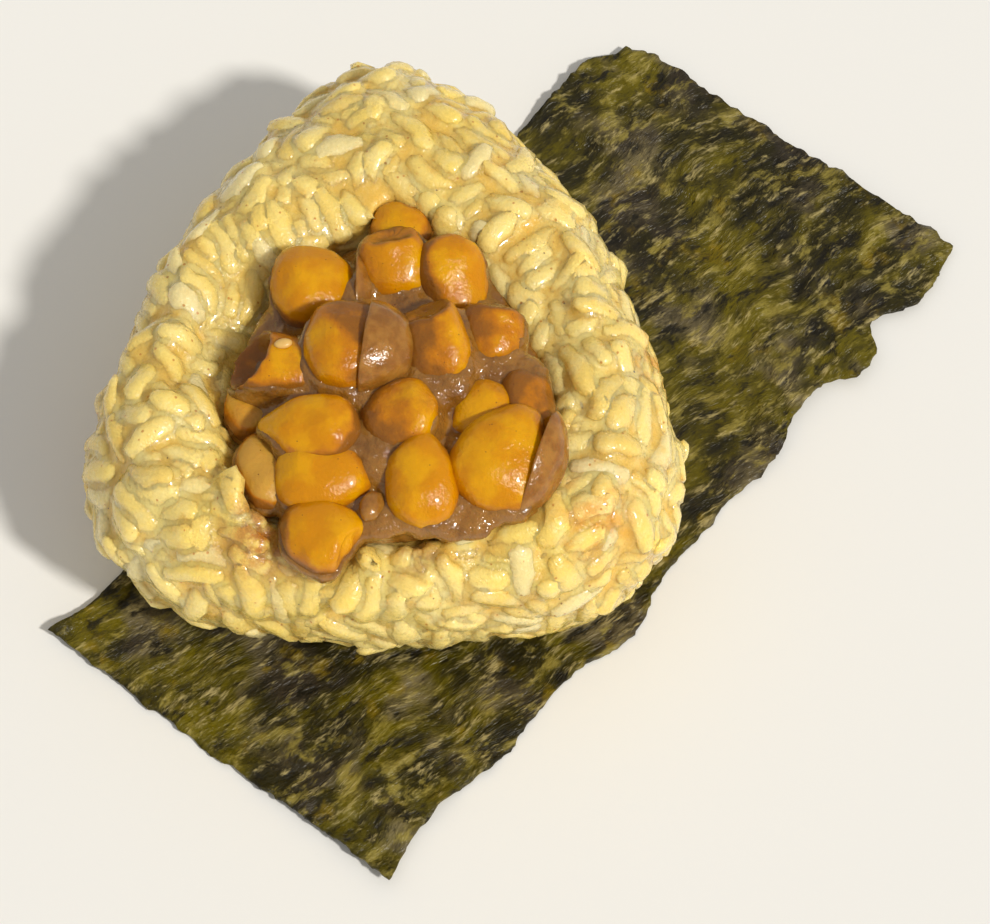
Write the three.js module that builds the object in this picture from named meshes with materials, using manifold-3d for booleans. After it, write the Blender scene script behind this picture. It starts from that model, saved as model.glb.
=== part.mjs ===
// Onigiri: a three-cornered rice ball filled with corn kernels in brown sauce, lying on a strip of nori.
// Millimetres, +Z up. The origin is on the ground, under the middle of the nori.
// +X is the viewer's right, +Y points away from the viewer.

import * as THREE from 'three';
import { mergeVertices } from 'three/addons/utils/BufferGeometryUtils.js';
import Module from 'manifold-3d';

const wasm = await Module();
wasm.setup();

// Driving dimensions

const GAP = 0.35;                  // clear space between pieces that touch

const NORI_LENGTH = 105;           // one eighth of a full sheet, cut lengthways
const NORI_WIDTH = 50;
const NORI_THICKNESS = 0.4;
const NORI_HEADING = 51.7;         // degrees from +X to the strip's length
const NORI_WAVE = 1.1;             // how far the free ends lift off the ground
const NORI_STEPS = 22;             // cells along the strip
const NORI_ROWS = 6;               // cells across it
const NORI_CORNER_CUT = 2.6;       // the far left corner is clipped

const RICE_X = -13.8;              // middle of the ball
const RICE_Y = -2.7;
const RICE_RADIUS = 31.55;         // mean plan radius
const RICE_STRETCH = 1.126;        // plan depth over plan width
const RICE_POINTS = 0.112;         // how far the three corners stand out
const RICE_FLATS = 0.027;          // how straight the sides are between them
const RICE_LEAN = 0.023;           // the far corner is the longest
const RICE_HEIGHT = 28;
const RICE_BASE = NORI_THICKNESS + GAP;
const RICE_FACE = 0.58;            // size of the flat top and bottom over the plan
const RICE_ROUNDING = 2.2;         // exponent of the rounded side

const HOLLOW_X = -14.2;            // dip in the top that holds the filling
const HOLLOW_Y = -8.8;
const HOLLOW_HALF_WIDTH = 20.5;
const HOLLOW_HALF_LENGTH = 21.8;
const HOLLOW_DEPTH = 9;

const SAUCE_HALF_WIDTH = 16.6;
const SAUCE_HALF_LENGTH = 19.4;
const SAUCE_EDGE_LEVEL = 24.6;     // height of the sauce where it meets the rice
const SAUCE_CROWN = 3.2;           // rise of the sauce between the kernels in the middle

const GRAIN_LENGTH = 6.6;          // one cooked grain
const GRAIN_WIDTH = 3.1;
const GRAIN_DEPTH = 2.7;
const GRAIN_SIDES = 5;
const GRAIN_RINGS = 3;
const GRAIN_SPACING = 5.2;         // between the middles of neighbouring grains
const GRAIN_SINK = 0.95;           // how far a grain's middle lies under the outline, at least
const CORE_INSET = 0.9;            // the core is this much smaller than the outline

const SEED = 7413;

// Kernels from the top of the heap down: middle, direction of the broad end, and size.
// turn is measured in plan from +X, rise is up from the ground, roll is about the kernel's length.

const KERNELS = [
  { x: -8.8, y: -5.8, z: 30.0, turn: -80, rise: -22, roll: 20, length: 11.6, width: 7.0, depth: 6.4 },
  { x: -17.4, y: -6.3, z: 30.0, turn: 186, rise: 4, roll: 0, length: 11.6, width: 9.6, depth: 7.4 },
  { x: -21.2, y: -15.8, z: 28.5, turn: -6, rise: 5, roll: 10, length: 11.0, width: 6.8, depth: 6.2 },
  { x: -9.8, y: -22.3, z: 27.6, turn: -88, rise: -18, roll: 0, length: 10.8, width: 7.0, depth: 6.4 },
  { x: -0.7, y: -19.4, z: 27.5, turn: -116, rise: -18, roll: -15, length: 12.6, width: 9.6, depth: 7.2 },
  { x: -11.8, y: -14.8, z: 28.6, turn: 12, rise: 8, roll: 0, length: 8.6, width: 7.4, depth: 6.2 },
  { x: -25.8, y: -7.9, z: 27.6, turn: 169, rise: 0, roll: 0, length: 12.4, width: 7.0, depth: 6.6 },
  { x: -13.2, y: 6.1, z: 27.5, turn: -82, rise: -36, roll: 0, length: 10.2, width: 7.2, depth: 6.2 },
  { x: -6.3, y: 4.4, z: 26.6, turn: 101, rise: 24, roll: 15, length: 10.8, width: 7.0, depth: 6.2 },
  { x: -22.3, y: 3.7, z: 26.4, turn: 192, rise: 8, roll: 0, length: 9.8, width: 9.0, depth: 7.4 },
  { x: -2.3, y: -2.9, z: 27.8, turn: 82, rise: 8, roll: 0, length: 8.6, width: 6.6, depth: 6.0 },
  { x: -3.4, y: -13.2, z: 26.8, turn: 47, rise: 8, roll: 0, length: 7.8, width: 5.6, depth: 5.4 },
  { x: -21.0, y: -20.4, z: 26.4, turn: 172, rise: -4, roll: -10, length: 10.6, width: 8.6, depth: 6.6 },
  { x: 2.0, y: -12.0, z: 26.8, turn: 98, rise: 0, roll: 30, length: 9.6, width: 5.6, depth: 5.0 },
  { x: -20.6, y: -27.0, z: 25.4, turn: -32, rise: -8, roll: 0, length: 9.2, width: 7.4, depth: 6.4 },
  { x: -26.7, y: -19.7, z: 25.0, turn: -70, rise: -4, roll: 0, length: 9.4, width: 5.4, depth: 5.0 },
  { x: -12.7, y: 11.2, z: 25.4, turn: 60, rise: 0, roll: 0, length: 7.0, width: 6.4, depth: 5.6 },
  { x: -28.6, y: -10.8, z: 23.8, turn: 200, rise: 0, roll: 0, length: 6.4, width: 6.0, depth: 5.2 },
];
const KERNEL_TAPER = 0.26;         // the broad end is wider than the middle by this share
const KERNEL_DENT = 0.16;          // the broad end is dented by this share of half the length
const KERNEL_SIDES = 8;
const KERNEL_RINGS = 5;

// Colours and finishes

const RICE_FINISH = new THREE.MeshStandardMaterial({ color: 0xebd282, roughness: 0.35, metalness: 0 });
const NORI_FINISH = new THREE.MeshStandardMaterial({ color: 0x4c4c24, roughness: 0.5, metalness: 0 });
const SAUCE_FINISH = new THREE.MeshStandardMaterial({ color: 0x8a5426, roughness: 0.2, metalness: 0 });
const CORN_FINISH = new THREE.MeshStandardMaterial({ color: 0xe6961c, roughness: 0.25, metalness: 0 });

// Small helpers

const degrees = THREE.MathUtils.degToRad;
const smoothstep = THREE.MathUtils.smoothstep;

function seededRandom(seed) {
  let state = seed >>> 0;
  return () => {
    state = (state + 0x6d2b79f5) >>> 0;
    let mixed = Math.imul(state ^ (state >>> 15), state | 1);
    mixed ^= mixed + Math.imul(mixed ^ (mixed >>> 7), mixed | 61);
    return ((mixed ^ (mixed >>> 14)) >>> 0) / 4294967296;
  };
}

function toSolid(geometry) {
  const bare = geometry.clone();
  bare.deleteAttribute('normal');
  bare.deleteAttribute('uv');
  const merged = mergeVertices(bare, 1e-5);
  return new wasm.Manifold(new wasm.Mesh({
    numProp: 3,
    vertProperties: new Float32Array(merged.attributes.position.array),
    triVerts: new Uint32Array(merged.index.array),
  }));
}

function toGeometry(solid) {
  const { vertProperties, triVerts } = solid.getMesh();
  const geometry = new THREE.BufferGeometry();
  geometry.setAttribute('position', new THREE.BufferAttribute(vertProperties, 3));
  geometry.setIndex(new THREE.BufferAttribute(triVerts, 1));
  geometry.computeVertexNormals();
  return geometry;
}

function largestBody(solid) {
  const bodies = solid.decompose();
  return bodies.reduce((best, body) => (body.volume() > best.volume() ? body : best));
}

function moveVertices(geometry, place) {
  const position = geometry.attributes.position;
  const point = new THREE.Vector3();
  for (let i = 0; i < position.count; i += 1) {
    place(point.fromBufferAttribute(position, i));
    position.setXYZ(i, point.x, point.y, point.z);
  }
  geometry.computeVertexNormals();
  return geometry;
}

// The rice ball's outline: a rounded triangle in plan and a pillow from the side

function planRadius(angle) {
  const fromFarCorner = angle - Math.PI / 2;
  return RICE_RADIUS * (1 + RICE_POINTS * Math.cos(3 * fromFarCorner)
    + RICE_FLATS * Math.cos(6 * fromFarCorner) + RICE_LEAN * Math.cos(fromFarCorner));
}

function hollowReach(x, y) {
  return Math.hypot((x - HOLLOW_X) / HOLLOW_HALF_WIDTH, (y - HOLLOW_Y) / HOLLOW_HALF_LENGTH);
}

function dipAt(x, y) {
  return HOLLOW_DEPTH * Math.max(0, 1 - hollowReach(x, y) ** 2);
}

// Half profile from the middle of the underside (0) up the side to the middle of the top (1)

const SIDE_START = 0.12;
const SIDE_END = 0.66;

function profileAt(share) {
  if (share < SIDE_START) return { size: RICE_FACE * (share / SIDE_START), level: -1 };
  if (share > SIDE_END) return { size: RICE_FACE * (1 - share) / (1 - SIDE_END), level: 1 };
  const level = -Math.cos(Math.PI * (share - SIDE_START) / (SIDE_END - SIDE_START));
  const bulge = (1 - Math.abs(level) ** RICE_ROUNDING) ** (1 / RICE_ROUNDING);
  return { size: RICE_FACE + (1 - RICE_FACE) * bulge, level };
}

function ballPoint(angle, share, inset = 0) {
  const { size, level } = profileAt(share);
  const radius = Math.max(0, planRadius(angle) * size - inset * Math.min(1, size / RICE_FACE));
  const x = RICE_X + radius * Math.cos(angle);
  const y = RICE_Y + radius * RICE_STRETCH * Math.sin(angle);
  const half = RICE_HEIGHT / 2;
  const lower = RICE_BASE + half * (1 + level);
  const z = level > 0 ? lower - inset * level - dipAt(x, y) * smoothstep(level, 0, 0.6) : lower;
  return new THREE.Vector3(x, y, z);
}

function ballNormal(angle, share) {
  const step = 0.004;
  const around = ballPoint(angle + step, share).sub(ballPoint(angle - step, share));
  const upward = ballPoint(angle, share + step).sub(ballPoint(angle, share - step));
  return around.cross(upward);
}

// Core: the ball without its outer layer of grains

function coreSolid() {
  const shares = [0, SIDE_START];
  const sideRings = 6;
  for (let i = 1; i <= sideRings; i += 1) {
    shares.push(SIDE_START + (SIDE_END - SIDE_START) * i / sideRings);
  }
  const topRings = 4;
  for (let i = 1; i <= topRings; i += 1) {
    shares.push(SIDE_END + (1 - SIDE_END) * i / topRings);
  }
  const profile = shares.map((share, i) => new THREE.Vector2(i === 0 || share === 1 ? 0 : 1, i));
  const lathe = new THREE.LatheGeometry(profile, 24);
  moveVertices(lathe, (point) => {
    const ring = Math.round(point.y);
    const angle = Math.atan2(-point.z, point.x);
    point.copy(ballPoint(angle, shares[ring], CORE_INSET));
  });
  return toSolid(lathe);
}

// Grains: spread evenly by dropping seeded points that keep their distance

function grainPlaces(random) {
  const places = [];
  const largestCell = ballNormal(Math.PI / 2, 0.4).length() * 1.6;
  for (let attempt = 0; attempt < 60000; attempt += 1) {
    const angle = random() * 2 * Math.PI;
    const share = SIDE_START + random() * (0.985 - SIDE_START);
    const chance = random();
    const normal = ballNormal(angle, share);
    if (chance * largestCell > normal.length()) continue;
    const middle = ballPoint(angle, share);
    const underFilling = share > SIDE_END - 0.1 && hollowReach(middle.x, middle.y) < 0.8;
    if (underFilling) continue;
    if (places.some((other) => other.middle.distanceTo(middle) < GRAIN_SPACING)) continue;
    places.push({ middle, normal: normal.normalize() });
  }
  return places;
}

function grainSolid({ middle, normal }, random) {
  const size = 0.85 + 0.3 * random();
  const grain = new THREE.SphereGeometry(1, GRAIN_SIDES, GRAIN_RINGS);
  grain.scale(size * GRAIN_WIDTH / 2, size * GRAIN_LENGTH / 2, size * GRAIN_DEPTH / 2);
  const reference = Math.abs(normal.z) > 0.8 ? new THREE.Vector3(1, 0, 0) : new THREE.Vector3(0, 0, 1);
  const across = reference.cross(normal).normalize();
  const heading = across.applyAxisAngle(normal, random() * 2 * Math.PI);
  heading.addScaledVector(normal, 0.5 * (random() - 0.5)).normalize();
  const side = heading.clone().cross(normal).normalize();
  const up = side.clone().cross(heading);
  grain.applyMatrix4(new THREE.Matrix4().makeBasis(side, heading, up));
  const seat = middle.clone().addScaledVector(normal, -GRAIN_SINK - 0.3 * random());
  grain.translate(seat.x, seat.y, seat.z);
  return toSolid(grain);
}

// Filling: wedge-shaped kernels and the sauce that they sit in

function kernelSolid(kernel, grow = 0) {
  const shape = new THREE.SphereGeometry(1, KERNEL_SIDES, KERNEL_RINGS);
  moveVertices(shape, (point) => {
    const along = point.y;
    const spread = 1 + KERNEL_TAPER * along;
    const dent = along > 0 ? KERNEL_DENT * (along ** 6) : 0;
    point.x *= spread;
    point.z *= 1 + 0.5 * KERNEL_TAPER * along;
    point.y -= dent;
  });
  shape.scale(kernel.width / 2 + grow, kernel.length / 2 + grow, kernel.depth / 2 + grow);
  shape.rotateY(degrees(kernel.roll));
  const heading = new THREE.Vector3(1, 0, 0)
    .applyAxisAngle(new THREE.Vector3(0, 1, 0), -degrees(kernel.rise))
    .applyAxisAngle(new THREE.Vector3(0, 0, 1), degrees(kernel.turn));
  const side = heading.clone().cross(new THREE.Vector3(0, 0, 1)).normalize();
  const up = side.clone().cross(heading);
  shape.applyMatrix4(new THREE.Matrix4().makeBasis(side, heading, up));
  shape.translate(kernel.x, kernel.y, kernel.z);
  return toSolid(shape);
}

function sauceSolid(grow = 0) {
  const rings = 3;
  const profile = [new THREE.Vector2(0, 0)];
  for (let i = 1; i <= rings; i += 1) profile.push(new THREE.Vector2(i / rings, i));
  for (let i = rings; i >= 1; i -= 1) profile.push(new THREE.Vector2(i / rings, 2 * rings + 1 - i));
  profile.push(new THREE.Vector2(0, 2 * rings + 1));
  const lathe = new THREE.LatheGeometry(profile, 16);
  moveVertices(lathe, (point) => {
    const onTop = Math.round(point.y) > rings;
    const angle = Math.atan2(-point.z, point.x);
    const reach = Math.hypot(point.x, point.z);
    const lobes = 1 + 0.05 * Math.cos(3 * angle + 1) + 0.04 * Math.cos(5 * angle);
    const x = HOLLOW_X + (SAUCE_HALF_WIDTH * lobes + grow) * reach * Math.cos(angle);
    const y = HOLLOW_Y + (SAUCE_HALF_LENGTH * lobes + grow) * reach * Math.sin(angle);
    const crown = SAUCE_CROWN * (1 - reach ** 2) + 0.3 * Math.cos(7 * angle) * reach;
    const top = SAUCE_EDGE_LEVEL + crown + grow;
    const depth = 4.6 * (1 - reach ** 2) + 1.2;
    point.set(x, y, onTop ? top : SAUCE_EDGE_LEVEL - depth - grow);
  });
  return toSolid(lathe);
}

// Nori: a thin wavy strip, flat under the rice

function noriEdge(along) {
  const bump = (middle, width, height) => height * Math.exp(-(((along - middle) / width) ** 2));
  const tabs = bump(43, 2.2, 2.2) + bump(33, 3, 3.4) + bump(15, 4, 1.2) + bump(-12, 4, 2.4);
  const bites = bump(38.6, 1.8, -1.2) + bump(-25, 6, -0.6) + bump(-42, 7, -1.6);
  return -(NORI_WIDTH / 2 - 0.3 + tabs + bites);
}

function noriPoint(along, across) {
  const far = NORI_LENGTH / 2 + 0.6;
  const u = -NORI_LENGTH / 2 + along * (far + NORI_LENGTH / 2);
  const left = NORI_WIDTH / 2 + 0.4 - NORI_CORNER_CUT * smoothstep(u, far - 3.5, far)
    - 1.8 * Math.exp(-(((u + 44) / 6) ** 2));
  const right = noriEdge(u) + 1.2 * smoothstep(-u, NORI_LENGTH / 2 - 3, NORI_LENGTH / 2);
  const v = right + across * (left - right);
  const heading = degrees(NORI_HEADING);
  const x = u * Math.cos(heading) - v * Math.sin(heading);
  const y = u * Math.sin(heading) + v * Math.cos(heading);
  const dx = x - RICE_X;
  const dy = (y - RICE_Y) / RICE_STRETCH;
  const outside = smoothstep(Math.hypot(dx, dy) / planRadius(Math.atan2(dy, dx)), 0.85, 1.5);
  const swell = 0.5 + 0.25 * Math.sin(u / 6.5 + v / 11) + 0.25 * Math.sin(v / 7 - u / 17 + 1);
  return new THREE.Vector3(x, y, NORI_WAVE * outside * swell);
}

function noriGeometry() {
  const plate = new THREE.BoxGeometry(1, 1, 1, NORI_STEPS, NORI_ROWS, 1);
  const strip = moveVertices(plate, (point) => {
    const lift = point.z > 0 ? NORI_THICKNESS : 0;
    point.copy(noriPoint(point.x + 0.5, point.y + 0.5));
    point.z += lift;
  });
  return toGeometry(toSolid(strip));
}

// Put the pieces together, from the top of the heap down

const onigiri = new THREE.Group();

function addPiece(name, geometry, material) {
  const piece = new THREE.Mesh(geometry, material);
  piece.name = name;
  onigiri.add(piece);
}

addPiece('nori', noriGeometry(), NORI_FINISH);

const taken = [];
KERNELS.forEach((kernel, i) => {
  const whole = kernelSolid(kernel);
  const cut = taken.length > 0 ? whole.subtract(wasm.Manifold.union(taken)) : whole;
  addPiece(`kernel_${String(i + 1).padStart(2, '0')}`, toGeometry(largestBody(cut)), CORN_FINISH);
  taken.push(kernelSolid(kernel, GAP));
});
const kernelSpace = wasm.Manifold.union(taken);

addPiece('sauce', toGeometry(largestBody(sauceSolid().subtract(kernelSpace))), SAUCE_FINISH);

const random = seededRandom(SEED);
const grains = grainPlaces(random).map((place) => grainSolid(place, random));
const ground = toSolid(new THREE.BoxGeometry(200, 200, 20).translate(0, 0, RICE_BASE - 10));
const heap = wasm.Manifold.union([coreSolid(), ...grains]);
const rice = largestBody(heap.subtract(wasm.Manifold.union([ground, sauceSolid(GAP), kernelSpace])));
addPiece('rice', toGeometry(rice), RICE_FINISH);

export default onigiri;
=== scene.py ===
# Onigiri: a three-cornered rice ball filled with corn in brown sauce, lying on a strip of nori.
# Everything is in metres, +Z up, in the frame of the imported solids.

import math

import bpy
import numpy as np
from mathutils import Matrix, Vector, noise
from mathutils.bvhtree import BVHTree


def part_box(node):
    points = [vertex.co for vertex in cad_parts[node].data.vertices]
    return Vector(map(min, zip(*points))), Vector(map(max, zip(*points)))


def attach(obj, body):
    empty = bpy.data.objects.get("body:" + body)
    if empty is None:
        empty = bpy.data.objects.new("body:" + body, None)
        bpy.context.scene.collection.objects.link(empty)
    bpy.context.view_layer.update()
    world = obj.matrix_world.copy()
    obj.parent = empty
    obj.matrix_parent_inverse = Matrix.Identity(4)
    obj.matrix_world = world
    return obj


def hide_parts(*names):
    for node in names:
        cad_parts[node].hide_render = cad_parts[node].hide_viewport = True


MM = 0.001
PER_MM = 1000.0
SEED = 7413

# Camera and light, as in the photograph, over a plain floor
CAMERA_TARGET = Vector((-1.8, -3.6, 0.0)) * MM
CAMERA_ELEVATION = 60.0
CAMERA_DISTANCE = 464.5 * MM
CAMERA_LENS = 145.45
SENSOR_WIDTH = 36.0
KEY_DIRECTION = Vector((0.62, -0.52, 0.80))
KEY_STRENGTH = 2.65
KEY_SOFTNESS = 6.0
KEY_COLOUR = (1.0, 0.955, 0.87)
SKY_STRENGTH = 0.45
SKY_COLOUR = (1.0, 0.975, 0.93, 1.0)
FLOOR_SIZE = 3.0
FLOOR_DROP = 0.05 * MM
FLOOR_COLOUR = (0.86, 0.86, 0.85, 1.0)

# Rice
GRAIN_LENGTH = 7.0 * MM
GRAIN_WIDTH = 3.3 * MM
GRAIN_DEPTH = 2.7 * MM
GRAIN_SEGMENTS = 8
GRAIN_RINGS = 7
SPINE_POINTS = 5
HEADINGS_TRIED = 8
HEADING_TILT = 0.13
GRAIN_ROLL = 0.3
NEIGHBOUR_REACH = 8.5 * MM
NORI_CLEARANCE = 0.3 * MM
FILLING_CLEARANCE = 1.5 * MM
MOULD_VOXEL = 0.9 * MM
MOULD_GROWTH = 1.0 * MM
HOLLOW_MIDDLE = Vector((-14.2, -8.8)) * MM
HOLLOW_SIZE = Vector((20.5, 21.8)) * MM
HOLLOW_ROOM = 0.4 * MM
PRESS_START = -0.15 * MM
PRESS_KEEP = 0.45
CREVICE_DEPTH = 0.9 * MM
BINDER_INSET = 0.75 * MM
BINDER_VOXEL = 0.5 * MM
BINDER_SINK = 0.04 * MM

# Filling
KERNEL_SEGMENTS = 32
KERNEL_RINGS = 20
KERNEL_SWELL = 1.1
FILM_FADE = 3.0 * MM
FILM_BARED = 0.8
FILM_ON_SIDES = 0.4
FILM_EVERYWHERE = 0.08
SAUCE_BELOW_TOP = 1.6 * MM
SAUCE_BRIM_LIMIT = 4.6 * MM
SAUCE_VOXEL = 0.45 * MM
SAUCE_CLIMB = 1.1
SAUCE_DROP = Vector((0, 0, -0.7)) * MM
SKIN_THICKNESS = 0.3 * MM

# Nori
NORI_LENGTH = 105 * MM
NORI_WIDTH = 50 * MM
NORI_THICKNESS = 0.3 * MM
NORI_HEADING = math.radians(51.7)
FIBRE_HEADING = math.radians(40)
NORI_STEPS = 230
NORI_ROWS = 110

random = np.random.default_rng(SEED)


# Working by hand: adding, picking, shaping and finishing a piece


def only(piece):
    """Leaves one piece selected and active."""
    bpy.ops.object.select_all(action="DESELECT")
    piece.select_set(True)
    bpy.context.view_layer.objects.active = piece
    return piece


def added(name):
    """Names the primitive that was just added."""
    piece = bpy.context.active_object
    piece.name = name
    piece.data.name = name
    return only(piece)


def sphere(name, segments, rings, size, middle=(0, 0, 0), radius=0.5):
    """A new sphere stretched to its size, left in edit mode."""
    bpy.ops.object.select_all(action="DESELECT")
    bpy.ops.mesh.primitive_uv_sphere_add(segments=segments, ring_count=rings, radius=radius,
                                         location=middle)
    piece = added(name)
    bpy.ops.object.mode_set(mode="EDIT")
    bpy.ops.mesh.select_all(action="SELECT")
    bpy.ops.transform.resize(value=size)
    return piece


def pick(piece, test):
    """Goes to edit mode with just the vertices selected whose place passes the test."""
    bpy.ops.object.mode_set(mode="OBJECT")
    mesh = piece.data
    mesh.polygons.foreach_set("select", np.zeros(len(mesh.polygons), bool))
    mesh.edges.foreach_set("select", np.zeros(len(mesh.edges), bool))
    mesh.vertices.foreach_set("select", [bool(test(v.co)) for v in mesh.vertices])
    bpy.ops.object.mode_set(mode="EDIT")
    bpy.ops.mesh.select_mode(type="VERT")


def widen(amounts, reach):
    """Resizes what is picked and draws its neighbours along within reach."""
    bpy.ops.transform.resize(
        value=amounts,
        use_proportional_edit=True,
        proportional_edit_falloff="SMOOTH",
        proportional_size=reach,
    )


def push(move, reach):
    """Moves what is picked and draws its neighbours along within reach."""
    bpy.ops.transform.translate(
        value=move,
        use_proportional_edit=True,
        proportional_edit_falloff="SMOOTH",
        proportional_size=reach,
    )


def done(piece):
    """Back to object mode, with the piece's place in its mesh."""
    bpy.ops.object.mode_set(mode="OBJECT")
    only(piece)
    bpy.ops.object.transform_apply(location=True, rotation=True, scale=True)
    return piece


def modify(piece, kind, **settings):
    """Adds a modifier and applies it."""
    modifier = piece.modifiers.new(kind.title(), kind)
    for key, value in settings.items():
        setattr(modifier, key, value)
    only(piece)
    bpy.ops.object.modifier_apply(modifier=modifier.name)
    return piece


def roughen(piece, size, strength, kind="CLOUDS"):
    """Dents the surface in and out with an uneven pattern of that size."""
    pattern = bpy.data.textures.new(piece.name + "_relief", kind)
    pattern.noise_scale = size
    return modify(piece, "DISPLACE", texture=pattern, strength=strength, mid_level=0.5)


def smooth_shaded(piece):
    only(piece)
    bpy.ops.object.shade_smooth()
    return piece


def twin(piece, name):
    """A copy of a piece, with its own mesh."""
    copy = piece.copy()
    copy.data = piece.data.copy()
    copy.name = name
    copy.data.name = name
    bpy.context.scene.collection.objects.link(copy)
    return copy


def copy_of(node, name):
    """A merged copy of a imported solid, to shape further."""
    piece = twin(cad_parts[node], name)
    piece.parent = None
    for key in list(piece.keys()):
        del piece[key]
    piece.data.materials.clear()
    only(piece)
    bpy.ops.object.mode_set(mode="EDIT")
    bpy.ops.mesh.select_all(action="SELECT")
    bpy.ops.mesh.remove_doubles(threshold=0.002 * MM)
    bpy.ops.object.mode_set(mode="OBJECT")
    return piece


def places_of(piece):
    """Vertex places and normals as arrays."""
    mesh = piece.data
    count = len(mesh.vertices)
    places = np.empty(count * 3)
    normals = np.empty(count * 3)
    mesh.vertices.foreach_get("co", places)
    mesh.vertices.foreach_get("normal", normals)
    return places.reshape(-1, 3), normals.reshape(-1, 3)


def note(piece, name, values):
    """Keeps one number for each vertex, for a material to read."""
    attribute = piece.data.attributes.new(name, "FLOAT", "POINT")
    attribute.data.foreach_set("value", np.asarray(values, np.float32))


def middle_of(node):
    low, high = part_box(node)
    return (low + high) / 2


# Wiring materials


def linear(red, green, blue):
    """A colour given as it shows on a screen, 0 to 255."""
    def channel(value):
        value /= 255
        return value / 12.92 if value <= 0.04045 else ((value + 0.055) / 1.055) ** 2.4
    return (channel(red), channel(green), channel(blue), 1.0)


class Finish:
    """A material and short ways to wire it."""

    def __init__(self, name, **settings):
        self.material = bpy.data.materials.new(name)
        self.material.use_nodes = True
        self.tree = self.material.node_tree
        self.surface = self.tree.nodes["Principled BSDF"]
        for key, value in settings.items():
            self.surface.inputs[key.replace("_", " ")].default_value = value
        coordinates = self.tree.nodes.new("ShaderNodeTexCoord")
        self.place = self.add("Mapping", {"Vector": coordinates.outputs["Object"]})
        self.place.node.inputs["Scale"].default_value = (PER_MM,) * 3

    def add(self, kind, inputs, output=0, **settings):
        """Adds a node, sets it up and returns one of its outputs."""
        new = self.tree.nodes.new("ShaderNode" + kind)
        for key, value in settings.items():
            setattr(new, key, value)
        for key, value in inputs.items():
            if isinstance(value, bpy.types.NodeSocket):
                self.tree.links.new(value, new.inputs[key])
            else:
                new.inputs[key].default_value = value
        return new.outputs[output]

    def noise(self, scale, detail=3.0, roughness=0.55, place=None):
        inputs = {"Vector": place or self.place, "Scale": scale, "Detail": detail, "Roughness": roughness}
        return self.add("TexNoise", inputs)

    def value(self, name):
        return self.add("Attribute", {}, "Fac", attribute_name=name)

    def span(self, value, low, high, to_low=0.0, to_high=1.0):
        """Takes low to high over to to_low to to_high, and no further."""
        inputs = {"Value": value, "From Min": low, "From Max": high, "To Min": to_low, "To Max": to_high}
        return self.add("MapRange", inputs, interpolation_type="SMOOTHSTEP")

    def plus(self, first, second):
        return self.add("Math", {0: first, 1: second}, operation="ADD")

    def times(self, first, second):
        return self.add("Math", {0: first, 1: second}, operation="MULTIPLY")

    def mix(self, share, first, second):
        return self.add("Mix", {0: share, 6: first, 7: second}, 2, data_type="RGBA")

    def near(self, x, y, z, radius):
        """1 at a place given in millimetres, fading to 0 at the radius."""
        offset = self.add("VectorMath", {0: self.place, 1: (x, y, z)}, "Value", operation="DISTANCE")
        return self.span(offset, radius, 0.0)

    def specks(self, scale, size, rarity):
        """Small dots, one in some cells of a cell pattern."""
        wobble = self.add("TexNoise", {"Vector": self.place, "Scale": 2.5, "Detail": 1.0}, 1)
        shaken = self.add("MixRGB", {0: 0.12, 1: self.place, 2: wobble}, blend_type="ADD")
        distance = self.add("TexVoronoi", {"Vector": shaken, "Scale": scale}, "Distance")
        dot = self.span(distance, size, size * 0.5)
        chosen = self.span(distance.node.outputs["Color"], rarity, rarity + 0.02)
        return self.times(dot, chosen)

    def soften(self, weight, radius, scale):
        """Lets light in under the surface."""
        self.surface.subsurface_method = "BURLEY"
        self.surface.inputs["Subsurface Weight"].default_value = weight
        self.surface.inputs["Subsurface Radius"].default_value = radius
        self.surface.inputs["Subsurface Scale"].default_value = scale

    def colour(self, value):
        self.tree.links.new(value, self.surface.inputs["Base Color"])

    def bump(self, heights, depth):
        """Fine relief, with its depth in metres."""
        relief = None
        for height, strength in heights:
            inputs = {"Height": height, "Strength": strength, "Distance": depth}
            if relief is not None:
                inputs["Normal"] = relief
            relief = self.add("Bump", inputs)
        self.tree.links.new(relief, self.surface.inputs["Normal"])

    def gloss(self, value):
        self.tree.links.new(value, self.surface.inputs["Roughness"])


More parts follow.
